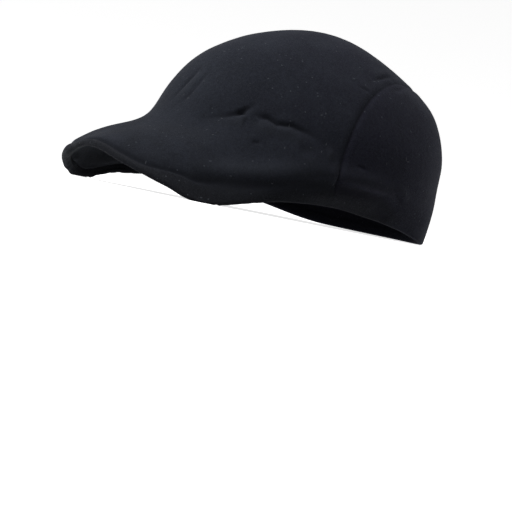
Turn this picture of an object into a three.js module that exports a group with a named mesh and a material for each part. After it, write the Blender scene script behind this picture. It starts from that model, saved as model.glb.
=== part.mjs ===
// A flat cap of black wool felt. One front panel runs from the arched peak over the crown,
// a back panel closes it behind a curved seam, and a stiff under-peak lines the peak.
import * as THREE from "three";

// Sizes in millimetres. Z is up, the peak points along -Y and the wearer's left side is +X.
const HALF_WIDTH = 94; // middle plane to the widest part of the side
const CROWN_HEIGHT = 127; // resting surface to the top of the crown
const PEAK_LENGTH = 60; // peak ahead of the crown, along the middle plane
const FELT_WALL = 2;
const HEM_WALL = 3.8; // felt turned in along the lower edge
const HEM_WIDTH = 6;
const HEM_ROUND = 1.3; // how far the turned edge bulges past its two faces
const UNDER_PEAK_WALL = 2.6;
const CLEARANCE = 0.4; // between pieces that are sewn together
const SEAM_DEPTH = 0.9; // how far both panels dip into the seam
const SEAM_WIDTH = 3.2;
const EDGE_AZIMUTH = 67; // where the seam meets the lower edge, from the front
const AROUND = 44; // cells of a panel from side to side
const UPWARD = 20; // cells of a panel between its hem and its seam

// Levels of every section from the lower edge to the upper crown. Azimuth is 0 at the front.
// Reach from the axis, as shares of HALF_WIDTH.
const REACH = [
  { azimuth: 0, edge: 1.13, lip: 1.13, crest: 1.23, wall: 1.06, shoulder: 0.85, upper: 0.46 },
  { azimuth: 12, edge: 1.13, lip: 1.13, crest: 1.2, wall: 1.06, shoulder: 0.845, upper: 0.46 },
  { azimuth: 23, edge: 1.12, lip: 1.12, crest: 1.17, wall: 1.04, shoulder: 0.84, upper: 0.465 },
  { azimuth: 30, edge: 1.12, lip: 1.12, crest: 1.15, wall: 1.02, shoulder: 0.83, upper: 0.465 },
  { azimuth: 38, edge: 1.1, lip: 1.1, crest: 1.11, wall: 1.01, shoulder: 0.82, upper: 0.465 },
  { azimuth: 48, edge: 1.08, lip: 1.12, crest: 1.085, wall: 1, shoulder: 0.8, upper: 0.455 },
  { azimuth: 68, edge: 0.925, lip: 1.03, crest: 1.03, wall: 0.98, shoulder: 0.775, upper: 0.445 },
  { azimuth: 90, edge: 0.85, lip: 0.96, crest: 0.995, wall: 0.955, shoulder: 0.77, upper: 0.45 },
  { azimuth: 115, edge: 0.885, lip: 0.965, crest: 0.99, wall: 0.96, shoulder: 0.795, upper: 0.45 },
  { azimuth: 140, edge: 0.995, lip: 1.02, crest: 1.02, wall: 1.005, shoulder: 0.855, upper: 0.47 },
  { azimuth: 160, edge: 1.045, lip: 1.065, crest: 1.075, wall: 1.055, shoulder: 0.9, upper: 0.495 },
  { azimuth: 180, edge: 1.045, lip: 1.09, crest: 1.12, wall: 1.1, shoulder: 0.93, upper: 0.51 },
];
// Height above the resting surface, as shares of CROWN_HEIGHT.
const HEIGHT = [
  { azimuth: 0, edge: 0.195, lip: 0.285, crest: 0.375, wall: 0.585, shoulder: 0.78, upper: 0.935 },
  { azimuth: 12, edge: 0.125, lip: 0.285, crest: 0.375, wall: 0.58, shoulder: 0.775, upper: 0.93 },
  { azimuth: 23, edge: 0.05, lip: 0.25, crest: 0.345, wall: 0.56, shoulder: 0.765, upper: 0.93 },
  { azimuth: 30, edge: 0, lip: 0.18, crest: 0.32, wall: 0.53, shoulder: 0.755, upper: 0.93 },
  { azimuth: 38, edge: 0.042, lip: 0.16, crest: 0.3, wall: 0.505, shoulder: 0.745, upper: 0.925 },
  { azimuth: 48, edge: 0.08, lip: 0.17, crest: 0.29, wall: 0.49, shoulder: 0.73, upper: 0.92 },
  { azimuth: 68, edge: 0.1, lip: 0.185, crest: 0.285, wall: 0.49, shoulder: 0.72, upper: 0.915 },
  { azimuth: 90, edge: 0.085, lip: 0.2, crest: 0.3, wall: 0.49, shoulder: 0.715, upper: 0.915 },
  { azimuth: 115, edge: 0.055, lip: 0.185, crest: 0.3, wall: 0.49, shoulder: 0.715, upper: 0.91 },
  { azimuth: 140, edge: 0.012, lip: 0.155, crest: 0.3, wall: 0.49, shoulder: 0.71, upper: 0.895 },
  { azimuth: 160, edge: 0, lip: 0.15, crest: 0.3, wall: 0.49, shoulder: 0.705, upper: 0.885 },
  { azimuth: 180, edge: 0, lip: 0.145, crest: 0.3, wall: 0.49, shoulder: 0.705, upper: 0.885 },
];
// Extra reach of the peak, as shares of PEAK_LENGTH.
const AHEAD = [
  { azimuth: 0, edge: 0.98, lip: 0.52 },
  { azimuth: 12, edge: 0.94, lip: 0.5 },
  { azimuth: 23, edge: 0.81, lip: 0.48 },
  { azimuth: 30, edge: 0.67, lip: 0.36 },
  { azimuth: 38, edge: 0.34, lip: 0.2 },
  { azimuth: 48, edge: 0.04, lip: 0.03 },
  { azimuth: 60, edge: 0, lip: 0 },
  { azimuth: 180, edge: 0, lip: 0 },
];
// The seam on the wearer's left, from the lower edge to the middle of the back. Share of the way
// from the lower edge to the top.
const SEAM = [
  { azimuth: EDGE_AZIMUTH, share: 0 },
  { azimuth: 66.5, share: 0.18 },
  { azimuth: 66.5, share: 0.34 },
  { azimuth: 69, share: 0.483 },
  { azimuth: 75, share: 0.59 },
  { azimuth: 86, share: 0.67 },
  { azimuth: 103, share: 0.722 },
  { azimuth: 130, share: 0.735 },
  { azimuth: 180, share: 0.73 },
];
// The roll above the tucked-in lower band, as a line round one half of the cap.
const ROLL = [
  { azimuth: 0, share: 0.03, strength: 0.5 },
  { azimuth: 10, share: 0.035, strength: 0.5 },
  { azimuth: 20, share: 0.055, strength: 0.6 },
  { azimuth: 28, share: 0.1, strength: 0.9 },
  { azimuth: 38, share: 0.18, strength: 1 },
  { azimuth: 52, share: 0.238, strength: 1 },
  { azimuth: 66, share: 0.262, strength: 0.9 },
  { azimuth: 82, share: 0.235, strength: 1 },
  { azimuth: 100, share: 0.17, strength: 0.9 },
  { azimuth: 120, share: 0.125, strength: 0.4 },
  { azimuth: 140, share: 0.11, strength: 0 },
  { azimuth: 180, share: 0.11, strength: 0 },
];
// Dents of the worn felt, and swells where depth is negative. Depth and width are shares of
// HALF_WIDTH, each line's places are azimuth and share, and negative azimuth is the right side.
const DENTS = [
  { depth: 0.024, width: 0.075, line: [[17, 0.36], [23, 0.4], [29, 0.44], [40, 0.45], [50, 0.447]] },
  { depth: 0.014, width: 0.07, line: [[50, 0.447], [57, 0.43], [63, 0.425]] },
  { depth: -0.013, width: 0.08, line: [[19, 0.33], [31, 0.39], [44, 0.395], [58, 0.38]] },
  { depth: 0.01, width: 0.06, line: [[2, 0.57], [0, 0.5], [-3, 0.42]] },
  { depth: 0.009, width: 0.06, line: [[9, 0.565], [6, 0.48], [2, 0.4]] },
  { depth: -0.05, width: 0.125, line: [[-16, 0.075], [-27, 0.09], [-38, 0.11]] },
];
// Where a panel's side becomes its upper edge, as shares of the seam's length.
const FRONT_CORNER = 0.68;
const BACK_CORNER = 0.41;
// The roll's swell above its line and the dip below it, as shares of HALF_WIDTH.
const SWELL = { height: 0.012, off: 0.027, width: 0.045 };
const DIP = { height: -0.02, off: -0.0315, width: 0.0315 };

const lerp = THREE.MathUtils.lerp;
const radians = THREE.MathUtils.degToRad;
const degrees = THREE.MathUtils.radToDeg;
const steps = (count) => [...Array(count + 1).keys()].map((k) => k / count);

// Lengths walked along a line of points, and the place of one length among them.
function runLengths(points) {
  const lengths = [0];
  points.slice(1).forEach((p, k) => lengths.push(lengths[k] + p.distanceTo(points[k])));
  return lengths;
}
function locate(lengths, want) {
  let k = 1;
  while (k < lengths.length - 1 && lengths[k] < want) k += 1;
  return [k, (want - lengths[k - 1]) / (lengths[k] - lengths[k - 1])];
}

// Values of a table's columns at an azimuth, smooth across the rows and mirrored at both ends.
function between(table, azimuth) {
  const rows = table.map((row) => Object.values(row));
  const at = Math.min(Math.abs(azimuth), 180);
  let i = 0;
  while (i < rows.length - 2 && rows[i + 1][0] < at) i += 1;
  const slope = (k, column) => {
    if (k === 0 || k === rows.length - 1) return 0;
    return (rows[k + 1][column] - rows[k - 1][column]) / (rows[k + 1][0] - rows[k - 1][0]);
  };
  const span = rows[i + 1][0] - rows[i][0];
  const f = (at - rows[i][0]) / span;
  return rows[i].slice(1).map((value, n) => {
    const next = rows[i + 1][n + 1];
    const leave = slope(i, n + 1) * span;
    const arrive = slope(i + 1, n + 1) * span;
    const rise = (3 * f * f - 2 * f * f * f) * (next - value);
    return value + rise + (f - 2 * f * f + f * f * f) * leave + (f * f * f - f * f) * arrive;
  });
}

// One smooth curve through evenly spaced values, with a value set before the first and after the last.
function through(before, values, after, share) {
  const all = [before, ...values, after];
  const s = share * (values.length - 1);
  const i = Math.min(Math.max(Math.floor(s), 0), values.length - 2);
  const f = s - i;
  const [a, b, c, d] = all.slice(i, i + 4);
  const cubic = (3 * b - 3 * c + d - a) * f * f * f;
  return 0.5 * (2 * b + (c - a) * f + (2 * a - 5 * b + 4 * c - d) * f * f + cubic);
}

// Smooth outer form of the cap before seams, roll and dents.
const sections = new Map();
function sectionAt(azimuth) {
  const key = Math.abs(azimuth).toFixed(4);
  if (!sections.has(key)) {
    const ahead = between(AHEAD, azimuth);
    const reach = between(REACH, azimuth).map((r, n) => HALF_WIDTH * r + PEAK_LENGTH * (ahead[n] ?? 0));
    const height = between(HEIGHT, azimuth).map((h) => CROWN_HEIGHT * h);
    sections.set(key, { reach, height });
  }
  return sections.get(key);
}
function skin(azimuth, share) {
  const turned = azimuth > 180 ? azimuth - 360 : azimuth;
  const { reach, height } = sectionAt(turned);
  const r = through(2 * reach[0] - reach[1], [...reach, 0], -reach.at(-1), share);
  const z = through(2 * height[0] - height[1], [...height, CROWN_HEIGHT], height.at(-1), share);
  const angle = radians(turned);
  return new THREE.Vector3(Math.sin(angle) * r, -Math.cos(angle) * r, z);
}

// The form as a function of a flat disc: its rim is the lower edge, its centre the top.
const onDisc = (x, y) => ({ azimuth: degrees(Math.atan2(x, -y)), share: 1 - Math.hypot(x, y) });
const toDisc = ({ azimuth, share }) => {
  const angle = radians(azimuth);
  return [(1 - share) * Math.sin(angle), -(1 - share) * Math.cos(angle)];
};
const smoothPoint = (x, y) => {
  const { azimuth, share } = onDisc(x, y);
  return skin(azimuth, share);
};
const DISC_STEP = 0.003;
function normalOf(surface, x, y) {
  const along = surface(x + DISC_STEP, y).sub(surface(x - DISC_STEP, y));
  const behind = surface(x, y + DISC_STEP).sub(surface(x, y - DISC_STEP));
  return along.cross(behind).normalize();
}

// The seam, walked evenly from the lower edge to the middle of the back.
const FINE = 400; // steps of the longest walks
const seamWalk = steps(FINE).map((s) => {
  const pick = (name) => SEAM.map((row) => row[name]);
  const ends = (v) => [2 * v[0] - v[1], v, 2 * v.at(-1) - v.at(-2)];
  const azimuth = through(...ends(pick("azimuth")), s);
  return { azimuth, share: through(...ends(pick("share")), s) };
});
const seamLengths = runLengths(seamWalk.map((p) => skin(p.azimuth, p.share)));
function seam(share) {
  const [k, f] = locate(seamLengths, share * seamLengths.at(-1));
  const [a, b] = [seamWalk[k - 1], seamWalk[k]];
  return { azimuth: lerp(a.azimuth, b.azimuth, f), share: lerp(a.share, b.share, f) };
}

// Distance from a point to a line of points.
function distanceToLine(point, line) {
  let best = Infinity;
  const near = new THREE.Vector3();
  for (let k = 1; k < line.length; k += 1) {
    new THREE.Line3(line[k - 1], line[k]).closestPointToPoint(point, true, near);
    best = Math.min(best, near.distanceTo(point));
  }
  return best;
}
const peaked = (distance, width) => Math.exp(-((distance / width) ** 2));
const LINE_STEPS = 60;
const seamLine = steps(LINE_STEPS).map(seam).map((p) => skin(p.azimuth, p.share));
const rollLine = steps(LINE_STEPS).map((s) => skin(180 * s, between(ROLL, 180 * s)[0]));
const dents = DENTS.map((dent) => ({ ...dent, points: dent.line.map(([a, s]) => skin(a, s)) }));

// How far the felt stands out from the smooth form at a place.
function relief({ azimuth, share }, point) {
  const half = new THREE.Vector3(Math.abs(point.x), point.y, point.z);
  let out = -SEAM_DEPTH * peaked(distanceToLine(half, seamLine), SEAM_WIDTH);
  const [rollShare, strength] = between(ROLL, azimuth);
  const offRoll = Math.sign(share - rollShare) * distanceToLine(half, rollLine);
  for (const { height, off, width } of [SWELL, DIP]) {
    out += strength * height * HALF_WIDTH * peaked(offRoll - off * HALF_WIDTH, width * HALF_WIDTH);
  }
  for (const dent of dents) {
    out -= dent.depth * HALF_WIDTH * peaked(distanceToLine(point, dent.points), dent.width * HALF_WIDTH);
  }
  return out;
}
const feltPoint = (x, y) => {
  const point = smoothPoint(x, y);
  return point.clone().addScaledVector(normalOf(smoothPoint, x, y), relief(onDisc(x, y), point));
};

// A four-sided patch between four lines of a flat chart.
function coons(bottom, top, left, right) {
  return (u, v) => {
    const blend = (axis) => {
      const upward = lerp(bottom(u)[axis], top(u)[axis], v);
      const across = lerp(left(v)[axis], right(v)[axis], u);
      const low = lerp(bottom(0)[axis], bottom(1)[axis], u);
      const high = lerp(top(0)[axis], top(1)[axis], u);
      return upward + across - lerp(low, high, v);
    };
    return [blend(0), blend(1)];
  };
}
const mirrored = ({ azimuth, share }) => ({ azimuth: -azimuth, share });

// A panel's upper edge from the right side to the left one, round the back.
function upperEdge(corner, u) {
  const place = seam(lerp(corner, 1, 1 - Math.abs(2 * u - 1)));
  return u < 0.5 ? mirrored(place) : place;
}

// The front panel's chart is the disc, the back panel's is azimuth against share.
const frontChart = coons(
  (u) => toDisc({ azimuth: lerp(-EDGE_AZIMUTH, EDGE_AZIMUTH, u), share: 0 }),
  (u) => toDisc(upperEdge(FRONT_CORNER, u)),
  (v) => toDisc(mirrored(seam(v * FRONT_CORNER))),
  (v) => toDisc(seam(v * FRONT_CORNER)),
);
const frontPlace = (u, v) => onDisc(...frontChart(u, v));
const roundBack = ({ azimuth, share }) => [azimuth < 0 ? azimuth + 360 : azimuth, share];
const backChart = coons(
  (u) => [lerp(EDGE_AZIMUTH, 360 - EDGE_AZIMUTH, u), 0],
  (u) => roundBack(upperEdge(BACK_CORNER, 1 - u)),
  (v) => roundBack(seam(v * BACK_CORNER)),
  (v) => roundBack(mirrored(seam(v * BACK_CORNER))),
);
function backPlace(u, v) {
  const [azimuth, share] = backChart(u, v);
  return { azimuth, share };
}

// Columns of cells crowd at the two side seams and at the corners of the peak.
const PEAK_CORNER = { at: 0.27, width: 0.08, extra: 1.3 };
const SIDE_SEAM = { at: 0, width: 0.018, extra: 3.5 };
const columnRun = [0];
for (let k = 0; k < FINE; k += 1) {
  const fromSeam = 0.5 - Math.abs((k + 0.5) / FINE - 0.5);
  const crowd = ({ at, width, extra }) => extra * peaked(fromSeam - at, width);
  columnRun.push(columnRun[k] + 1 + crowd(PEAK_CORNER) + crowd(SIDE_SEAM));
}
const columns = steps(AROUND).map((share) => {
  const [k, f] = locate(columnRun, share * columnRun.at(-1));
  return (k - 1 + f) / FINE;
});

// Rows of cells lie at set distances in the hem and along the seam, and evenly between.
const HEM_ROWS = [0, 0.25, 0.55, 0.85, 1.2, 1.7]; // shares of HEM_WIDTH from the lower edge
const SEAM_ROWS = [1.6, 0.7, 0]; // shares of SEAM_WIDTH from the seam
function rowDistances(length) {
  const low = HEM_ROWS.map((share) => share * HEM_WIDTH);
  const high = SEAM_ROWS.map((share) => length - share * SEAM_WIDTH);
  const even = steps(UPWARD).slice(1, -1).map((share) => lerp(low.at(-1), high[0], share));
  return [...low, ...even, ...high];
}

// Outer face of a panel, with its normals and each point's distance from the lower edge.
const COLUMN_STEPS = 80;
function panelFace(place) {
  const places = [];
  const fromEdge = [];
  for (const u of columns) {
    const walk = steps(COLUMN_STEPS).map((v) => place(u, v));
    const lengths = runLengths(walk.map((p) => skin(p.azimuth, p.share)));
    const distances = rowDistances(lengths.at(-1));
    fromEdge.push(distances);
    places.push(distances.map((want) => {
      const [k, f] = locate(lengths, want);
      return place(u, (k - 1 + f) / COLUMN_STEPS);
    }));
  }
  const discs = places.map((column) => column.map(toDisc));
  const face = discs.map((column) => column.map(([x, y]) => feltPoint(x, y)));
  const normals = discs.map((column) => column.map(([x, y]) => normalOf(feltPoint, x, y)));
  leaveGap(face);
  return { face, normals, fromEdge };
}
const offset = ({ face, normals }, amount) =>
  face.map((column, i) => column.map((p, j) => p.clone().addScaledVector(normals[i][j], amount(i, j))));

// Draws the two side edges and the upper edge in by half the clearance, square to the edge.
function leaveGap(face) {
  const [last, top] = [face.length - 1, face[0].length - 1];
  const ring = [];
  for (let j = 0; j < top; j += 1) ring.push([0, j]);
  for (let i = 0; i <= last; i += 1) ring.push([i, top]);
  for (let j = top - 1; j >= 0; j -= 1) ring.push([last, j]);
  const at = ([i, j]) => face[i][j];
  const moves = ring.map(([i, j], k) => {
    const [next, previous] = [ring[Math.min(k + 1, ring.length - 1)], ring[Math.max(k - 1, 0)]];
    const along = at(next).clone().sub(at(previous)).normalize();
    const inner = face[Math.min(Math.max(i, 1), last - 1)][Math.min(j, top - 1)];
    const way = inner.clone().sub(face[i][j]);
    return way.addScaledVector(along, -way.dot(along)).setLength(CLEARANCE / 2);
  });
  ring.forEach((place, k) => at(place).add(moves[k]));
}

// A closed shell between two faces, with one more line of points round its lower edge.
function shell(outer, inner, round) {
  const [last, top] = [outer.length - 1, outer[0].length - 1];
  const positions = [];
  const triangles = [];
  const add = (p) => {
    positions.push(p.x, p.y, Math.max(p.z, 0));
    return positions.length / 3 - 1;
  };
  const a = outer.map((column) => column.map(add));
  const b = inner.map((column) => column.map(add));
  const lip = outer.map((column, i) => {
    const away = column[0].clone().sub(column[1]).normalize();
    return add(column[0].clone().lerp(inner[i][0], 0.5).addScaledVector(away, round));
  });
  const quad = (p, q, r, s) => triangles.push(p, q, r, p, r, s);
  for (let i = 0; i < last; i += 1) {
    for (let j = 0; j < top; j += 1) {
      quad(a[i][j], a[i + 1][j], a[i + 1][j + 1], a[i][j + 1]);
      quad(b[i][j], b[i][j + 1], b[i + 1][j + 1], b[i + 1][j]);
    }
    quad(a[i][top], a[i + 1][top], b[i + 1][top], b[i][top]);
    quad(lip[i], lip[i + 1], a[i + 1][0], a[i][0]);
    quad(b[i][0], b[i + 1][0], lip[i + 1], lip[i]);
  }
  for (let j = 0; j < top; j += 1) {
    quad(a[0][j], a[0][j + 1], b[0][j + 1], b[0][j]);
    quad(a[last][j], b[last][j], b[last][j + 1], a[last][j + 1]);
  }
  triangles.push(a[0][0], b[0][0], lip[0]);
  triangles.push(a[last][0], lip[last], b[last][0]);
  const geometry = new THREE.BufferGeometry();
  geometry.setAttribute("position", new THREE.Float32BufferAttribute(positions, 3));
  geometry.setIndex(triangles);
  geometry.computeVertexNormals();
  return geometry;
}

// Each panel is a felt shell, thicker where it is turned in along the lower edge.
const RUN_OUT = { from: 0.75, to: 1.1 }; // where the turned edge thins out, as shares of HEM_WIDTH
function panelShell(panel) {
  const wallAt = (distance) => {
    const f = THREE.MathUtils.smoothstep(distance, HEM_WIDTH * RUN_OUT.from, HEM_WIDTH * RUN_OUT.to);
    return lerp(HEM_WALL, FELT_WALL, f);
  };
  const inner = offset(panel, (i, j) => -wallAt(panel.fromEdge[i][j]));
  return shell(panel.face, inner, HEM_ROUND);
}

// The under-peak follows the front panel's inner face between the hem and the forehead.
const UNDER_PEAK_ROWS = [4, 8];
const UNDER_PEAK_FREE_COLUMNS = 5; // left free at each end
const UNDER_PEAK_ROUND = 0.3; // bulge of its outer edge, as a share of its wall
function underPeakShell(panel) {
  const upper = FELT_WALL + CLEARANCE;
  const layer = (depth) => offset(panel, () => -depth)
    .slice(UNDER_PEAK_FREE_COLUMNS, -UNDER_PEAK_FREE_COLUMNS)
    .map((column) => column.slice(UNDER_PEAK_ROWS[0], UNDER_PEAK_ROWS[1] + 1));
  return shell(layer(upper), layer(upper + UNDER_PEAK_WALL), UNDER_PEAK_ROUND * UNDER_PEAK_WALL);
}

function felt(name, geometry, color) {
  const material = new THREE.MeshStandardMaterial({ color, roughness: 0.95, metalness: 0 });
  const mesh = new THREE.Mesh(geometry, material);
  mesh.name = name;
  return mesh;
}
const front = panelFace(frontPlace);
const back = panelFace(backPlace);
const pieces = [
  felt("front_panel", panelShell(front), 0x26282d),
  felt("back_panel", panelShell(back), 0x1f2127),
  felt("under_peak", underPeakShell(front), 0x1b1d22),
];

// The origin lies on the resting surface under the middle of the whole cap.
const group = new THREE.Group();
group.add(...pieces);
const middle = new THREE.Box3().setFromObject(group).getCenter(new THREE.Vector3());
for (const piece of pieces) piece.position.y = -middle.y;

export default group;
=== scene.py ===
"""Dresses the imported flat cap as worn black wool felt, in a plain pale studio."""

import math

import bmesh
import bpy
from mathutils import Matrix, Vector, noise
from mathutils.bvhtree import BVHTree
from mathutils.geometry import intersect_point_line
from mathutils.kdtree import KDTree


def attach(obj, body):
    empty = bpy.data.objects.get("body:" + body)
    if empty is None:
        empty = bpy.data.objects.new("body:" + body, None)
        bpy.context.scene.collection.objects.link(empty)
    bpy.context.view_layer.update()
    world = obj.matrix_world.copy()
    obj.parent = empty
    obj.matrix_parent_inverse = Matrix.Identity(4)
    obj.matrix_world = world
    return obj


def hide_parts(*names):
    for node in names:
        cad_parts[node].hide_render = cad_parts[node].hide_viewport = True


bl_info = {
    "name": "Felt Flat Cap",
    "version": (1, 0, 0),
    "blender": (4, 5, 0),
    "location": "View3D > Sidebar > Cap",
    "description": "Flat cap of black wool felt with its folds and seam, and a pale studio",
    "category": "Add Mesh",
}

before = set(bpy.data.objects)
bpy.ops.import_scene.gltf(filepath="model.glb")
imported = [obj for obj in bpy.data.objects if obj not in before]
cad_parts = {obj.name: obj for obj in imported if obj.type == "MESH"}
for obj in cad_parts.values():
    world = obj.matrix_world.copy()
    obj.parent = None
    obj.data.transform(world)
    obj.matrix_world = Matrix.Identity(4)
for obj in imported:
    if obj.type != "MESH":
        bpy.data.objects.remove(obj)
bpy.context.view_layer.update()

MM = 0.001
BODY = "root"
CAP_MIDDLE = Vector((0.0, 0.0, 60.0)) * MM
HEAD_MIDDLE = Vector((0.0, 30.0, 20.0)) * MM  # in the hollow, and lower than the peak

# How near to the other panel the points and the faces of a solid's wall at the seam are, how
# much of the gap between the panels is closed, and the least angle of the wall's corners.
SEAM_POINTS = 0.8 * MM
SEAM_FACES = 0.9 * MM
SEAM_CLOSED = 0.8
SEAM_CORNER = math.radians(50)

# How far from its line a fold can move the felt, and the share of its depth left at its ends.
FOLD_REACH = 25 * MM
FOLD_END_DEPTH = 0.15

# Where the under-peak meets the turned-in hem: the hem's width, how far the under-peak's edge
# may be moved, the share of its thickness that it keeps there, and its gap to the panel.
HEM_WIDTH = 6.0 * MM
EDGE_SHIFT = 1.2 * MM
EDGE_THICKNESS = 0.7
EDGE_GAP = 0.2 * MM


def fold(line, depth, width, lift=0.0, swell_at=3.0, fade=(0.3, 0.3), both=False):
    """A fold of the felt along a short line of places on the cap, all in millimetres.

    The felt dips by depth at the line, or swells where depth is negative, and it swells by lift
    beside the line, swell_at away, on one side or the other by the sign of swell_at. Fade is the
    share of the line over which the fold dies away at its two ends. A fold whose both is set is
    on both sides of the cap.
    """
    return {
        "line": [Vector(place) * MM for place in line],
        "depth": depth,
        "width": width,
        "lift": lift,
        "swell_at": swell_at,
        "fade": fade,
        "both": both,
    }


FOLDS = {
    "side_crease_ahead": fold(
        ((28, -74, 51), (38, -66, 55), (44, -59, 58.5), (48, -56, 59)),
        depth=2.0, width=1.5, lift=1.1, swell_at=-4.5, fade=(0.8, 0.15),
    ),
    "side_crease_behind": fold(
        (
            (51, -53, 59),
            (57, -47, 59),
            (62, -43, 56.5),
            (68, -36, 57.5),
            (75, -28, 55),
            (82, -19, 50),
        ),
        depth=2.1, width=1.6, lift=1.3, swell_at=-5.0, fade=(0.2, 0.45),
    ),
    "side_branch": fold(
        ((43, -60, 58), (46, -56, 62), (49, -52, 66)),
        depth=1.5, width=1.5, lift=0.5, swell_at=-3.5, fade=(0.1, 0.7),
    ),
    "side_hollow": fold(
        ((77, -34, 43), (79, -30, 44.5), (82, -24, 46)),
        depth=0.9, width=4.0, lift=0.3, swell_at=-7.0,
    ),
    "swell_ahead_of_seam": fold(
        ((83, -18, 44), (86, -12, 45)),
        depth=-0.9, width=4.0, fade=(0.4, 0.4),
    ),
    "front_crease_right": fold(
        ((-2, -61, 86), (-3, -67, 77), (-5, -72, 68), (-7, -77, 59)),
        depth=0.8, width=1.9, lift=0.5, swell_at=5.0, fade=(0.4, 0.4),
    ),
    "front_crease_left": fold(
        ((9, -62, 84), (8, -68, 74), (7, -74, 64), (2, -79, 56)),
        depth=0.7, width=1.9, lift=0.4, swell_at=-5.0, fade=(0.4, 0.4),
    ),
    "pucker_ahead_of_seam": fold(
        ((66, 24, 98), (61, 37, 102), (55, 49, 105)),
        depth=0.8, width=1.5, lift=0.4, swell_at=4.0, fade=(0.3, 0.4),
    ),
    "short_pucker_ahead_of_seam": fold(
        ((69, 10, 92), (73, 17, 89)),
        depth=0.5, width=1.3, lift=0.2,
    ),
    "pucker_behind_seam": fold(
        ((69, 37, 93), (65, 47, 96), (55, 65, 101)),
        depth=0.7, width=1.6, lift=0.4, swell_at=-4.0, fade=(0.4, 0.4),
    ),
    "short_dent_behind_seam": fold(
        ((91, 2, 41.5), (93, 10, 40)),
        depth=0.8, width=1.2, lift=0.3, swell_at=-3.0,
    ),
    "seam_foot": fold(
        ((88, -16, 29), (89, -10, 25)),
        depth=-0.7, width=1.6,
    ),
    "nape_crease": fold(
        ((93, 35, 31), (90, 44, 28), (86, 53, 23)),
        depth=1.1, width=1.6, lift=0.7, swell_at=4.0, fade=(0.4, 0.4),
    ),
    "band_hollow": fold(
        ((89, 26, 16), (84, 38, 14), (79, 49, 12)),
        depth=1.0, width=5.0,
    ),
    "right_corner_swell": fold(
        ((-20, -129, 20), (-33, -127, 17.5), (-46, -122, 14.5), (-57, -112, 11), (-63, -102, 7)),
        depth=-2.0, width=9.0, fade=(0.25, 0.2),
    ),
    "spot": fold(
        ((59, -57, 43), (62, -53, 42.5)),
        depth=0.8, width=1.1, lift=0.2, swell_at=-3.0,
    ),
    "roll": fold(
        (
            (56, -105, 11),
            (66, -86, 13),
            (71, -62, 16),
            (76, -50, 18),
            (82, -34, 22),
            (88, -17, 25),
            (91, -4, 25),
            (92, 15, 24),
            (91, 32, 21),
            (87, 47, 16),
        ),
        depth=1.5, width=5.0, lift=1.2, swell_at=8.0, fade=(0.15, 0.2), both=True,
    ),
}

# The folds that the under-peak follows.
UNDER_PEAK_FOLDS = ("right_corner_swell", "roll")

# Upper border of the turned-under band along the wearer's left.
BAND_LINE = [
    Vector(place) * MM
    for place in (
        (55, -108, 15),
        (62, -97, 15.5),
        (67, -86, 16),
        (71, -62, 18.5),
        (75, -51, 21),
        (82, -34, 25),
        (88, -18, 28),
        (91, -4, 27.5),
        (92, 15, 26.5),
        (91, 32, 24),
        (87, 47, 19),
        (80, 63, 13),
    )
]
# Width of that band along the front of the peak and at its corners, in millimetres.
EDGE_LINE = 6.2
EDGE_LINE_AT_CORNER = 13.0


class CapFelt(bpy.types.PropertyGroup):
    """Colours of the felt, with its painted shade and painted light, and the size of what shows on
    it
    """

    front_color: bpy.props.FloatVectorProperty(
        name="Front felt",
        description="Colour of the front panel",
        subtype="COLOR",
        min=0.0,
        max=1.0,
        default=(0.0140, 0.0164, 0.0240),
    )
    # Painted shade: this colour, darker and bluer than the front felt, stands for the shade on the
    # back of the cap, which is turned from the key light. The back panel has it all over, and the
    # other pieces take it on towards their back.
    back_shaded_color: bpy.props.FloatVectorProperty(
        name="Back felt",
        description="Colour of the back panel",
        subtype="COLOR",
        min=0.0,
        max=1.0,
        default=(0.0100, 0.0104, 0.0190),
    )
    # Painted light: the felt under the peak is given a paler colour than the panels, standing for
    # the light that reaches under the peak.
    under_lightened_color: bpy.props.FloatVectorProperty(
        name="Under-peak felt",
        description="Colour of the felt under the peak",
        subtype="COLOR",
        min=0.0,
        max=1.0,
        default=(0.0360, 0.0395, 0.0500),
    )
    # Painted shade: the turned-under band along the lower edge faces down and lies in shade, and
    # this darker colour stands for that shade.
    band_shade_color: bpy.props.FloatVectorProperty(
        name="Band felt",
        description="Colour of the felt that is turned under along the lower edge",
        subtype="COLOR",
        min=0.0,
        max=1.0,
        default=(0.0066, 0.0072, 0.0098),
    )
    fibre_color: bpy.props.FloatVectorProperty(
        name="Fibres",
        description="Colour of the loose fibres on the nap",
        subtype="COLOR",
        min=0.0,
        max=1.0,
        default=(0.060, 0.066, 0.078),
    )
    lint_color: bpy.props.FloatVectorProperty(
        name="Lint",
        description="Colour of the few specks of lint",
        subtype="COLOR",
        min=0.0,
        max=1.0,
        default=(0.55, 0.56, 0.58),
    )
    nap: bpy.props.FloatProperty(
        name="Nap height",
        description="Height of the felt's nap",
        subtype="DISTANCE",
        unit="LENGTH",
        min=0.0,
        default=0.35 * MM,
    )
    seam_cut: bpy.props.FloatProperty(
        name="Seam depth",
        description="Depth of the groove where the panels are sewn together",
        subtype="DISTANCE",
        unit="LENGTH",
        min=0.0,
        default=0.55 * MM,
    )
    seam_cut_width: bpy.props.FloatProperty(
        name="Seam width",
        description="Half width of the sewn groove",
        subtype="DISTANCE",
        unit="LENGTH",
        min=0.0,
        default=1.2 * MM,
    )
    ripple: bpy.props.FloatProperty(
        name="Ripple",
        description="Height of the soft unevenness of worn felt",
        subtype="DISTANCE",
        unit="LENGTH",
        min=0.0,
        default=0.45 * MM,
    )


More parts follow.
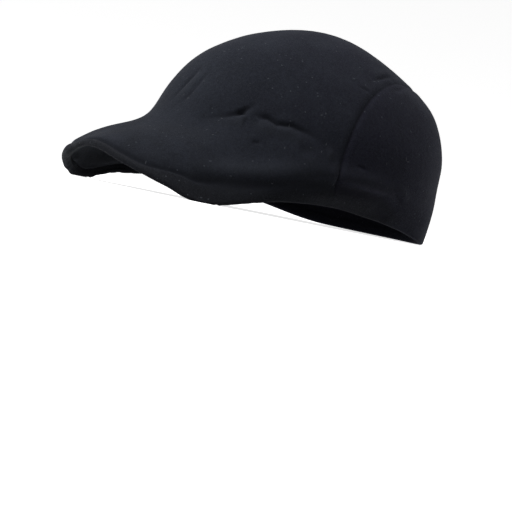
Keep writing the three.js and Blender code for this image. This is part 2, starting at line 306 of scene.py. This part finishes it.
class CapStudio(bpy.types.PropertyGroup):
    """Floor, light and camera"""

    floor_color: bpy.props.FloatVectorProperty(
        name="Floor",
        description="Colour of the floor and the sweep behind it",
        subtype="COLOR",
        min=0.0,
        max=1.0,
        default=(0.9, 0.9, 0.9),
    )
    glow: bpy.props.FloatProperty(
        name="Floor glow",
        description="How much the floor and its sweep shine by themselves, as a light table does",
        min=0.0,
        default=0.78,
    )
    key_power: bpy.props.FloatProperty(
        name="Key light",
        description="Power of the soft light at the upper left of the camera, in watts",
        min=0.0,
        default=18.5,
    )
    fill_power: bpy.props.FloatProperty(
        name="Fill light",
        description="Power of the soft light over the back of the cap, in watts",
        min=0.0,
        default=5.0,
    )
    low_power: bpy.props.FloatProperty(
        name="Low light",
        description="Power of the low light that shows the underside of the peak, in watts",
        min=0.0,
        default=1.1,
    )
    air: bpy.props.FloatProperty(
        name="Surroundings",
        description="Strength of the pale surroundings, which darken towards the horizon",
        min=0.0,
        default=0.50,
    )
    azimuth: bpy.props.FloatProperty(
        name="Camera azimuth",
        description="How far the camera stands round from the front, towards the wearer's left",
        subtype="ANGLE",
        unit="ROTATION",
        default=math.radians(51.8),
    )
    distance: bpy.props.FloatProperty(
        name="Camera distance",
        description="From the camera to the middle of the cap",
        subtype="DISTANCE",
        unit="LENGTH",
        default=1.1,
    )
    height: bpy.props.FloatProperty(
        name="Camera height",
        description="From the floor to the camera",
        subtype="DISTANCE",
        unit="LENGTH",
        default=0.010,
    )
    roll: bpy.props.FloatProperty(
        name="Camera roll",
        description="How far the camera is tilted to one side",
        subtype="ANGLE",
        unit="ROTATION",
        default=math.radians(11.6),
    )
    lens: bpy.props.FloatProperty(
        name="Focal length",
        description="Focal length of the camera, in millimetres",
        unit="CAMERA",
        default=116.2,
    )
    aim: bpy.props.FloatVectorProperty(
        name="Aim",
        description="Where the middle of the cap stands in the frame, from its centre",
        size=2,
        default=(0.0274, 0.2606),
    )


def smooth(x):
    """Soft step from 0 to 1."""
    x = min(max(x, 0.0), 1.0)
    return x * x * (3.0 - 2.0 * x)


def bell(x, width):
    """1 at x = 0, and almost 0 at twice the width."""
    return math.exp(-((x / width) ** 2))


def lerp(first, second, share):
    return first + (second - first) * share


def node_copy(node):
    """Merged copy of a CAD node's mesh, with its triangle pairs joined."""
    mesh = bmesh.new()
    mesh.from_mesh(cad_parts[node].data)
    bmesh.ops.remove_doubles(mesh, verts=mesh.verts, dist=0.001 * MM)
    bmesh.ops.join_triangles(
        mesh,
        faces=mesh.faces,
        angle_face_threshold=math.radians(60),
        angle_shape_threshold=math.radians(75),
    )
    return mesh


def tree_of(node):
    """Tree of a CAD node's faces."""
    mesh = bmesh.new()
    mesh.from_mesh(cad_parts[node].data)
    tree = BVHTree.FromBMesh(mesh)
    mesh.free()
    return tree


def outer_sheet(mesh, other):
    """Tree of a shell's outer faces, and their smooth normals, without the wall at the seam."""
    sheet = mesh.copy()
    sheet.normal_update()
    inner = []
    for face in sheet.faces:
        middle = face.calc_center_median()
        faces_in = (middle - HEAD_MIDDLE).dot(face.normal) < 0.0
        at_seam = other is not None and other.find_nearest(middle)[3] < SEAM_FACES
        if faces_in or at_seam:
            inner.append(face)
    bmesh.ops.delete(sheet, geom=inner, context="FACES")
    sheet.normal_update()
    sheet.faces.ensure_lookup_table()
    return sheet, BVHTree.FromBMesh(sheet)


def outward(sheet, tree, point):
    """Outer normal of the shell near a point."""
    face = sheet.faces[tree.find_nearest(point)[2]]
    total = Vector()
    for vert in face.verts:
        total += vert.normal / ((vert.co - point).length_squared + (0.5 * MM) ** 2)
    return total.normalized()


def to_left(vector, side):
    """Mirror image on the wearer's left of a place or direction on the given side."""
    return Vector((vector.x * side, vector.y, vector.z))


def fold_height(one, point, out):
    """How far a fold moves the felt at a point, in metres."""
    if one["both"] and point.x < 0.0:
        point, out = to_left(point, -1.0), to_left(out, -1.0)
    line = one["line"]
    best = None
    for k in range(1, len(line)):
        near, share = intersect_point_line(point, line[k - 1], line[k])
        share = min(max(share, 0.0), 1.0)
        near = line[k - 1].lerp(line[k], share)
        away = point - near
        if away.length > FOLD_REACH:
            continue
        away -= out * away.dot(out)
        if best is None or away.length < best[0]:
            side = out.cross(line[k] - line[k - 1]).normalized()
            best = (away.length, away.dot(side), (k - 1 + share) / (len(line) - 1))
    if best is None:
        return 0.0
    distance, across, along = best
    ends = smooth(along / one["fade"][0]) * smooth((1.0 - along) / one["fade"][1])
    dip = one["depth"] * bell(distance / MM, one["width"]) * lerp(FOLD_END_DEPTH, 1.0, ends)
    beyond = math.sqrt(max(distance**2 - across**2, 0.0)) / MM
    swell = bell(across / MM - one["swell_at"], abs(one["swell_at"]) * 0.8) * bell(beyond, 5.0)
    return (one["lift"] * swell * ends - dip) * MM


def band_width(x):
    """Width of the turned-under band on the peak, from its middle to its corners, in mm."""
    return lerp(EDGE_LINE, EDGE_LINE_AT_CORNER, smooth((abs(x) / MM - 38.0) / 28.0))


def in_band(point, from_hem):
    """Share of the turned-under band at a point: 1 well below its upper border, 0 above it."""
    place = to_left(point, -1.0 if point.x < 0.0 else 1.0)
    if place.y < BAND_LINE[0].y:
        return smooth((band_width(place.x) - from_hem) / 1.5 + 0.5)
    below = None
    for start, end in zip(BAND_LINE, BAND_LINE[1:]):
        near, share = intersect_point_line(place, start, end)
        near = start.lerp(end, min(max(share, 0.0), 1.0))
        if below is None or (place - near).length < below[0]:
            below = ((place - near).length, near.z - place.z)
    back = 1.0 - smooth((place.y / MM - 40.0) / 25.0)
    return smooth(below[1] / MM / 4.0 + 0.5) * back


def hem_tree(sheet, other):
    """Tree of places close together along the sheet's lower edge."""
    places = []
    for edge in sheet.edges:
        start, end = (vert.co for vert in edge.verts)
        if not edge.is_boundary or (other and other.find_nearest(start)[3] < 2 * MM):
            continue
        count = max(1, round((end - start).length / (0.8 * MM)))
        places += [start.lerp(end, k / count) for k in range(count + 1)]
    tree = KDTree(len(places))
    for k, place in enumerate(places):
        tree.insert(place, k)
    tree.balance()
    return tree


def bead_height(point, from_hem):
    """Bead along the front edge of the peak and the groove above it, in metres.

    Both die away behind the peak, and towards its corner on the wearer's right.
    """
    x, y = point.x / MM, point.y / MM
    peak = smooth((-72.0 - y) / 34.0) * (1.0 - smooth((-x - 5.0) / 25.0))
    if peak == 0.0 or from_hem > 20.0:
        return 0.0
    above = from_hem - band_width(point.x)
    bead = 0.5 * bell(from_hem - 2.4, 2.2) * (1.0 - smooth((abs(x) - 25.0) / 35.0))
    groove = bell(above, 1.4) + 0.3 * bell(above - 1.5, 4.0)
    return peak * (bead - groove) * MM


def smoothed(mesh, levels, name):
    """Mesh object of a bmesh after smooth subdivision."""
    data = bpy.data.meshes.new(name)
    mesh.to_mesh(data)
    mesh.free()
    piece = bpy.data.objects.new(name, data)
    bpy.context.scene.collection.objects.link(piece)
    rounding = piece.modifiers.new("Rounding", "SUBSURF")
    rounding.levels = levels
    rounding.render_levels = levels
    graph = bpy.context.evaluated_depsgraph_get()
    piece.data = bpy.data.meshes.new_from_object(piece.evaluated_get(graph))
    piece.modifiers.clear()
    bpy.data.meshes.remove(data)
    return piece


def refine(mesh, lines, reach):
    """Divides the faces near some lines of places."""
    edges = set()
    for edge in mesh.edges:
        middle = (edge.verts[0].co + edge.verts[1].co) / 2.0
        if any((middle - place).length < reach for place in lines):
            edges.add(edge)
    bmesh.ops.subdivide_edges(mesh, edges=list(edges), cuts=1, use_grid_fill=True, smooth=0.6)


def along_folds():
    """Places close together along every fold."""
    places = []
    for one in FOLDS.values():
        line = one["line"]
        for k in range(1, len(line)):
            places += [line[k - 1].lerp(line[k], share) for share in (0.0, 0.5, 1.0)]
    return places


def close_seam(mesh, other):
    """Brings a panel's wall at the seam up to its neighbour and keeps the wall's corners sharp."""
    sharp = mesh.edges.layers.float.new("crease_edge")
    at_seam = set()
    for vert in mesh.verts:
        near, _, _, gap = other.find_nearest(vert.co)
        if gap < SEAM_POINTS:
            vert.co = vert.co.lerp(near, SEAM_CLOSED)
            at_seam.add(vert)
    mesh.normal_update()
    for edge in mesh.edges:
        if at_seam.issuperset(edge.verts) and edge.calc_face_angle(0.0) > SEAM_CORNER:
            edge[sharp] = 1.0


def meet_hem(mesh, sheet, tree):
    """Brings the under-peak's edge up to the turned-in hem and makes the two flush."""
    panel = node_copy("front_panel")
    seam = tree_of("back_panel")
    panel_sheet, _ = outer_sheet(panel, seam)
    hem = hem_tree(panel_sheet, seam)
    panel_sheet.free()
    panel.normal_update()
    outer = []
    for face in panel.faces:
        if (face.calc_center_median() - HEAD_MIDDLE).dot(face.normal) > 0.0:
            outer.append(face)
    bmesh.ops.delete(panel, geom=outer, context="FACES")
    panel.normal_update()
    panel.faces.ensure_lookup_table()
    inside = BVHTree.FromBMesh(panel)
    near_hem = HEM_WIDTH + 1 * MM
    places = []
    for vert in mesh.verts:
        near, _, _, depth = tree.find_nearest(vert.co)
        edge, _, away = hem.find(near)
        out = outward(sheet, tree, near)
        toward = edge - near
        toward -= out * toward.dot(out)
        share = 1.0 - smooth((away - near_hem) / (9 * MM))
        reach = min(max(0.0, toward.length - HEM_WIDTH), EDGE_SHIFT) * share
        on_panel = inside.find_nearest(near + toward.normalized() * reach)[0]
        into = outward(panel, inside, on_panel)
        place = on_panel + into * (EDGE_GAP + depth * EDGE_THICKNESS)
        places.append(vert.co.lerp(place, share))
    panel.free()
    for vert, place in zip(mesh.verts, places):
        vert.co = place


def seam_height(point, gap, settings):
    """Share of the sewn groove at a point, and how far the seam moves the felt there, in metres.

    Low down, under the roll, and over the crown the gap of the solids is filled up, and the
    groove is weak or missing there.
    """
    pucker = 1.0 + 0.5 * noise.noise(point / (7 * MM))
    low = 1.0 - smooth((point.z / MM - 23.0) / 6.0)
    high = smooth((point.y / MM - 12.0) / 25.0)
    groove = bell(gap, settings.seam_cut_width) * (1.0 - low) * (1.0 - 0.6 * high)
    cut = settings.seam_cut * pucker * groove
    fill = 0.9 * MM * bell(gap, 3.2 * MM) * max(low, 0.5 * high)
    swell = 0.25 * MM * pucker * bell(gap - 4 * MM, 2.2 * MM) * (1.0 - low)
    return groove, fill + swell - cut


def unevenness(point, height):
    """Soft unevenness of worn felt, which dies away towards the floor, in metres."""
    clouds = (
        0.7 * noise.noise(point / (34 * MM))
        + 0.25 * noise.noise(point / (13 * MM))
        + 0.12 * noise.noise(point / (5 * MM))
    )
    return height * clouds * smooth(point.z / (12 * MM))


def felt_piece(node, neighbour, name, folds):
    """A piece of felt round its CAD solid: rounded, folded and uneven.

    A panel also has its neighbour at the seam, and is drawn into it. The under-peak has none, and
    is fitted to the hem instead.
    """
    settings = bpy.context.scene.cap_felt
    mesh = node_copy(node)
    other = tree_of(neighbour) if neighbour else None
    sheet, tree = outer_sheet(mesh, other)
    hem = hem_tree(sheet, other)
    if other:
        close_seam(mesh, other)
    else:
        meet_hem(mesh, sheet, tree)
    piece = smoothed(mesh, 2, name)
    mesh = bmesh.new()
    mesh.from_mesh(piece.data)
    if other:
        refine(mesh, along_folds(), 8 * MM)
    hollow_shade = mesh.verts.layers.float.new("hollow_shade")
    rubbed = mesh.verts.layers.float.new("rubbed")
    band = mesh.verts.layers.float.new("band")
    moves = []
    for vert in mesh.verts:
        out = outward(sheet, tree, vert.co)
        gap = other.find_nearest(vert.co)[3] if other else 1.0
        groove, sewn = seam_height(vert.co, gap, settings)
        from_hem = hem.find(vert.co)[2] / MM
        depth = tree.find_nearest(vert.co)[3] / MM
        on_top = 1.0 - smooth((depth - 0.3) / 1.2)
        bead = bead_height(vert.co, from_hem) * on_top if other else 0.0
        creases = sum(fold_height(FOLDS[one], vert.co, out) for one in folds)
        uneven = unevenness(vert.co, settings.ripple)
        # Painted shade in the hollows: the sewn groove, the dips of the folds and the groove above
        # the bead are darkened because they lie in shade.
        dip = max(0.0, -creases) / (1.4 * MM) + max(0.0, -bead) / (1.2 * MM)
        vert[hollow_shade] = min(1.0, groove + dip)
        vert[rubbed] = max(0.0, min(1.0, creases / (0.8 * MM)))
        # Share of the turned-under band, which gets painted shade in the material.
        vert[band] = in_band(vert.co, from_hem) if other else 0.0
        moves.append(out * (sewn + creases + bead + uneven))
    for vert, move in zip(mesh.verts, moves):
        vert.co += move
        vert.co.z = max(vert.co.z, 0.0)
    for face in mesh.faces:
        face.smooth = True
    mesh.to_mesh(piece.data)
    mesh.free()
    sheet.free()
    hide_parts(node)
    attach(piece, BODY)
    return piece


# How three sets of stray fibres are drawn out and turned.
FIBRE_LAYS = (
    ((1.0, 1.0, 0.28), (0.5, 0.3, 0.0)),
    ((0.3, 1.0, 1.0), (0.0, 0.9, 0.6)),
    ((1.0, 0.3, 1.0), (0.7, 0.0, 0.4)),
)


def felt_material(name, color):
    """Matted wool felt: mottled and fibrous, with a few specks of lint, and with painted shade in
    its creases and grooves, on the turned-under band, over the front of the peak and towards the
    back.
    """
    settings = bpy.context.scene.cap_felt
    material = bpy.data.materials.new(name)
    material.use_nodes = True
    nodes = material.node_tree.nodes
    links = material.node_tree.links
    shader = nodes["Principled BSDF"]
    shader.inputs["Roughness"].default_value = 0.93
    shader.inputs["Specular IOR Level"].default_value = 0.12
    shader.inputs["Sheen Weight"].default_value = 0.05
    shader.inputs["Sheen Roughness"].default_value = 0.42
    shader.inputs["Sheen Tint"].default_value = (0.62, 0.68, 0.80, 1.0)
    place = nodes.new("ShaderNodeTexCoord")

    def cloud(scale, detail, roughness, distortion):
        node = nodes.new("ShaderNodeTexNoise")
        node.inputs["Scale"].default_value = scale
        node.inputs["Detail"].default_value = detail
        node.inputs["Roughness"].default_value = roughness
        node.inputs["Distortion"].default_value = distortion
        links.new(place.outputs["Object"], node.inputs["Vector"])
        return node.outputs["Fac"]

    def maths(operation, first, second=None):
        node = nodes.new("ShaderNodeMath")
        node.operation = operation
        for socket, value in zip(node.inputs, (first, second)):
            if isinstance(value, (int, float)):
                socket.default_value = value
            elif value is not None:
                links.new(value, socket)
        return node.outputs[0]

    def spread(value, low, high, new_low, new_high):
        node = nodes.new("ShaderNodeMapRange")
        node.inputs["From Min"].default_value = low
        node.inputs["From Max"].default_value = high
        node.inputs["To Min"].default_value = new_low
        node.inputs["To Max"].default_value = new_high
        links.new(value, node.inputs["Value"])
        return node.outputs["Result"]

    def blend(amount, first, second):
        node = nodes.new("ShaderNodeMix")
        node.data_type = "RGBA"
        links.new(amount, node.inputs["Factor"])
        for socket, value in zip((node.inputs[6], node.inputs[7]), (first, second)):
            if isinstance(value, tuple):
                socket.default_value = value
            else:
                links.new(value, socket)
        return node.outputs[2]

    def painted(attribute):
        node = nodes.new("ShaderNodeAttribute")
        node.attribute_name = attribute
        return node.outputs["Fac"]

    def fibres(scale, distortion, thin):
        """Thin curved lines where a cloud crosses its middle value."""
        value = cloud(scale, 2.0, 0.5, distortion)
        off = maths("ABSOLUTE", maths("SUBTRACT", value, 0.5))
        return spread(off, 0.0, thin, 1.0, 0.0)

    def flecks(scale, stretch, turn, size, share):
        """Short stray fibres: small drawn-out dots in a few of many cells."""
        lay = nodes.new("ShaderNodeMapping")
        lay.inputs["Scale"].default_value = stretch
        lay.inputs["Rotation"].default_value = turn
        links.new(place.outputs["Object"], lay.inputs["Vector"])
        cells = nodes.new("ShaderNodeTexVoronoi")
        cells.inputs["Scale"].default_value = scale
        links.new(lay.outputs["Vector"], cells.inputs["Vector"])
        pick = nodes.new("ShaderNodeSeparateColor")
        links.new(cells.outputs["Color"], pick.inputs["Color"])
        near = spread(cells.outputs["Distance"], size * 0.5, size, 1.0, 0.0)
        return maths("MULTIPLY", near, maths("LESS_THAN", pick.outputs[0], share))

    mottle = cloud(38.0, 4.0, 0.6, 0.2)
    tufts = cloud(420.0, 6.0, 0.72, 0.6)
    short_fibres = fibres(420.0, 2.2, 0.05)
    hollow_shade, rubbed, band = (painted(name) for name in ("hollow_shade", "rubbed", "band"))
    split = nodes.new("ShaderNodeSeparateXYZ")
    links.new(place.outputs["Object"], split.inputs["Vector"])
    along = split.outputs["Y"]

    base = (*color, 1.0)
    deep = (*(0.55 * c for c in color), 1.0)
    pale = (*(1.3 * c for c in color), 1.0)
    fibre = (*settings.fibre_color, 1.0)
    rear_shade = (*settings.back_shaded_color, 1.0)
    # Painted shade: the felt darkens towards the back, away from the key light.
    felt = blend(spread(along, -70 * MM, 10 * MM, 0.0, 1.0), base, rear_shade)
    # Painted shade over the front of the peak: the felt darkens towards the peak's front edge.
    felt = blend(spread(along, -105 * MM, -70 * MM, 0.8, 0.0), felt, deep)
    felt = blend(maths("MULTIPLY", spread(mottle, 0.35, 0.68, 0.0, 1.0), 0.8), felt, pale)
    # Painted shade on the turned-under band, which faces down.
    felt = blend(band, felt, (*settings.band_shade_color, 1.0))
    felt = blend(spread(tufts, 0.42, 0.72, 0.0, 0.75), felt, deep)
    felt = blend(maths("MULTIPLY", short_fibres, 0.2), felt, fibre)
    felt = blend(maths("MULTIPLY", rubbed, 0.1), felt, fibre)
    # Painted shade in the creases and grooves.
    felt = blend(maths("MULTIPLY", hollow_shade, 0.9), felt, deep)
    for stretch, turn in FIBRE_LAYS:
        stray = flecks(230.0, stretch, turn, 0.11, 0.32)
        felt = blend(maths("MULTIPLY", stray, 0.8), felt, fibre)
    lint = flecks(95.0, (1.0, 1.0, 1.0), (0.0, 0.0, 0.0), 0.06, 0.018)
    felt = blend(lint, felt, (*settings.lint_color, 1.0))
    links.new(felt, shader.inputs["Base Color"])

    height = maths("ADD", maths("MULTIPLY", tufts, 0.8), maths("MULTIPLY", short_fibres, 0.25))
    bump = nodes.new("ShaderNodeBump")
    bump.inputs["Strength"].default_value = 0.6
    bump.inputs["Distance"].default_value = settings.nap
    links.new(height, bump.inputs["Height"])
    links.new(bump.outputs["Normal"], shader.inputs["Normal"])
    return material


class CAP_OT_front_panel(bpy.types.Operator):
    """Makes the front panel, which runs from the peak over the crown"""

    bl_idname = "cap.front_panel"
    bl_label = "Front Panel"

    def execute(self, context):
        piece = felt_piece("front_panel", "back_panel", "front_panel_felt", FOLDS)
        piece.data.materials.clear()
        color = context.scene.cap_felt.front_color
        piece.data.materials.append(felt_material("front_felt", color))
        return {"FINISHED"}


class CAP_OT_back_panel(bpy.types.Operator):
    """Makes the back panel, behind the curved seam"""

    bl_idname = "cap.back_panel"
    bl_label = "Back Panel"

    def execute(self, context):
        piece = felt_piece("back_panel", "front_panel", "back_panel_felt", FOLDS)
        piece.data.materials.clear()
        color = context.scene.cap_felt.back_shaded_color
        piece.data.materials.append(felt_material("back_felt", color))
        return {"FINISHED"}


class CAP_OT_under_peak(bpy.types.Operator):
    """Makes the stiff felt sheet under the peak"""

    bl_idname = "cap.under_peak"
    bl_label = "Under-peak"

    def execute(self, context):
        piece = felt_piece("under_peak", None, "under_peak_felt", UNDER_PEAK_FOLDS)
        piece.data.materials.clear()
        # The under-peak's felt colour, lightened as painted light.
        color = context.scene.cap_felt.under_lightened_color
        piece.data.materials.append(felt_material("under_felt_lightened", color))
        return {"FINISHED"}


class CAP_OT_studio(bpy.types.Operator):
    """Makes the floor with its round sweep, the lights and the camera"""

    bl_idname = "cap.studio"
    bl_label = "Studio"

    def execute(self, context):
        settings = context.scene.cap_studio
        make_floor(settings)
        make_lights(settings)
        make_camera(settings)
        context.scene.view_settings.view_transform = "Standard"
        return {"FINISHED"}


def make_floor(settings):
    """Round floor that rises into a sweep all round, and shines a little by itself."""
    radius, corner = 4.5, 3.0
    mesh = bmesh.new()
    start = mesh.verts.new((0.0, 0.0, 0.0))
    knee = mesh.verts.new((radius, 0.0, 0.0))
    mesh.edges.new((start, knee))
    bmesh.ops.spin(
        mesh,
        geom=[knee],
        cent=(radius, 0.0, corner),
        axis=(0.0, -1.0, 0.0),
        dvec=(0.0, 0.0, 0.0),
        angle=math.radians(90),
        steps=20,
    )
    bmesh.ops.spin(
        mesh,
        geom=mesh.verts[:] + mesh.edges[:],
        cent=(0.0, 0.0, 0.0),
        axis=(0.0, 0.0, 1.0),
        dvec=(0.0, 0.0, 0.0),
        angle=math.radians(360),
        steps=96,
        use_merge=True,
    )
    bmesh.ops.remove_doubles(mesh, verts=mesh.verts, dist=MM)
    bmesh.ops.recalc_face_normals(mesh, faces=mesh.faces)
    mesh.faces.ensure_lookup_table()
    if mesh.faces[0].normal.z < 0.0:
        bmesh.ops.reverse_faces(mesh, faces=mesh.faces)
    for face in mesh.faces:
        face.smooth = True
    data = bpy.data.meshes.new("studio_floor")
    mesh.to_mesh(data)
    mesh.free()
    floor = bpy.data.objects.new("studio_floor", data)
    bpy.context.scene.collection.objects.link(floor)
    paint = bpy.data.materials.new("studio_white")
    paint.use_nodes = True
    shader = paint.node_tree.nodes["Principled BSDF"]
    shader.inputs["Base Color"].default_value = (*settings.floor_color, 1.0)
    shader.inputs["Roughness"].default_value = 0.9
    shader.inputs["Specular IOR Level"].default_value = 0.1
    shader.inputs["Emission Color"].default_value = (1.0, 1.0, 1.0, 1.0)
    shader.inputs["Emission Strength"].default_value = settings.glow
    data.materials.append(paint)
    floor.visible_diffuse = False  # its glow doesn't light the felt from below


# Tones of the surroundings from straight down, at 0, over the horizon, at 0.5, to overhead, at 1.
AIR_TONES = ((0.0, 0.55), (0.3, 0.3), (0.46, 0.05), (0.52, 0.05), (0.64, 0.25), (0.92, 1.0))


def side_vectors(azimuth):
    """Unit vectors towards the camera and to its right, level with the floor."""
    return (
        Vector((math.sin(azimuth), -math.cos(azimuth), 0.0)),
        Vector((math.cos(azimuth), math.sin(azimuth), 0.0)),
    )


def soft_light(name, place, size, power, color):
    """Square soft light that faces the cap."""
    data = bpy.data.lights.new(name, "AREA")
    data.shape = "SQUARE"
    data.size = size
    data.energy = power
    data.color = color
    holder = bpy.data.objects.new(name, data)
    holder.location = place
    holder.rotation_euler = (place - CAP_MIDDLE).to_track_quat("Z", "Y").to_euler()
    bpy.context.scene.collection.objects.link(holder)


def make_lights(settings):
    """Three soft lights, and surroundings that are palest overhead and dim behind the camera."""
    back, right = side_vectors(settings.azimuth)
    up = Vector((0.0, 0.0, 1.0))
    key_place = CAP_MIDDLE - right * 0.95 + back * 0.4 + up * 1.05
    soft_light("key_light", key_place, 1.0, settings.key_power, (1.0, 0.99, 0.97))
    fill_place = CAP_MIDDLE + right * 0.9 - back * 0.5 + up * 1.2
    soft_light("fill_light", fill_place, 1.2, settings.fill_power, (0.90, 0.88, 1.0))
    low_place = CAP_MIDDLE - right * 0.75 + back * 0.8 + up * 0.08
    soft_light("low_light", low_place, 0.3, settings.low_power, (1.0, 1.0, 1.0))
    world = bpy.data.worlds.new("studio_air")
    world.use_nodes = True
    nodes, links = world.node_tree.nodes, world.node_tree.links
    air = nodes["Background"]
    air.inputs["Strength"].default_value = settings.air
    toward = nodes.new("ShaderNodeTexCoord")
    split = nodes.new("ShaderNodeSeparateXYZ")
    links.new(toward.outputs["Generated"], split.inputs["Vector"])
    height = nodes.new("ShaderNodeMapRange")
    height.inputs["From Min"].default_value = -1.0
    links.new(split.outputs["Z"], height.inputs["Value"])
    shade = nodes.new("ShaderNodeValToRGB")
    shade.color_ramp.elements.remove(shade.color_ramp.elements[1])
    shade.color_ramp.elements[0].color = (*[AIR_TONES[0][1]] * 3, 1.0)
    for place, tone in AIR_TONES[1:]:
        shade.color_ramp.elements.new(place).color = (tone, tone, tone, 1.0)
    links.new(height.outputs["Result"], shade.inputs["Fac"])
    ahead = nodes.new("ShaderNodeVectorMath")
    ahead.operation = "DOT_PRODUCT"
    ahead.inputs[1].default_value = back
    links.new(toward.outputs["Generated"], ahead.inputs[0])
    dim = nodes.new("ShaderNodeMapRange")
    dim.interpolation_type = "SMOOTHSTEP"
    dim.inputs["From Min"].default_value = 0.1
    dim.inputs["From Max"].default_value = 0.9
    dim.inputs["To Min"].default_value = 1.0
    dim.inputs["To Max"].default_value = 0.3
    links.new(ahead.outputs["Value"], dim.inputs["Value"])
    tone = nodes.new("ShaderNodeVectorMath")
    tone.operation = "SCALE"
    links.new(shade.outputs["Color"], tone.inputs[0])
    links.new(dim.outputs["Result"], tone.inputs["Scale"])
    links.new(tone.outputs["Vector"], air.inputs["Color"])
    bpy.context.scene.world = world


def make_camera(settings):
    """Camera low over the floor, turned to the photograph's view of the cap."""
    back, right = side_vectors(settings.azimuth)
    drop = (settings.height - CAP_MIDDLE.z) / settings.distance
    level = math.sqrt(1.0 - drop**2)
    back = back * level + Vector((0.0, 0.0, drop))
    up = back.cross(right)
    turn = settings.roll
    across = right * math.cos(turn) + up * math.sin(turn)
    upward = up * math.cos(turn) - right * math.sin(turn)
    axes = Matrix((across, upward, back)).transposed()
    data = bpy.data.cameras.new("camera")
    data.sensor_width = 36.0
    data.sensor_fit = "HORIZONTAL"
    data.lens = settings.lens
    data.clip_start = 0.002
    half = data.sensor_width / data.lens
    seen = Vector((settings.aim[0] * half, settings.aim[1] * half, -1.0))
    aim = seen.rotation_difference(Vector((0.0, 0.0, -1.0))).to_matrix()
    camera = bpy.data.objects.new("camera", data)
    place = Matrix.Translation(CAP_MIDDLE + back * settings.distance)
    camera.matrix_world = place @ (axes @ aim).to_4x4()
    bpy.context.scene.collection.objects.link(camera)
    bpy.context.scene.camera = camera


class CAP_PT_panel(bpy.types.Panel):
    """Lists the steps that make the cap and its studio"""

    bl_idname = "CAP_PT_panel"
    bl_label = "Felt Flat Cap"
    bl_space_type = "VIEW_3D"
    bl_region_type = "UI"
    bl_category = "Cap"

    def draw(self, context):
        for step in STEPS:
            self.layout.operator(step.bl_idname)
        for group in (context.scene.cap_felt, context.scene.cap_studio):
            for name in group.__annotations__:
                self.layout.prop(group, name)


STEPS = (CAP_OT_front_panel, CAP_OT_back_panel, CAP_OT_under_peak, CAP_OT_studio)
CLASSES = (CapFelt, CapStudio, *STEPS, CAP_PT_panel)


def register():
    for cls in CLASSES:
        bpy.utils.register_class(cls)
    bpy.types.Scene.cap_felt = bpy.props.PointerProperty(type=CapFelt)
    bpy.types.Scene.cap_studio = bpy.props.PointerProperty(type=CapStudio)


def unregister():
    del bpy.types.Scene.cap_studio
    del bpy.types.Scene.cap_felt
    for cls in reversed(CLASSES):
        bpy.utils.unregister_class(cls)


def main():
    register()
    bpy.ops.cap.studio()
    bpy.ops.cap.front_panel()
    bpy.ops.cap.back_panel()
    bpy.ops.cap.under_peak()


if __name__ == "__main__":
    main()
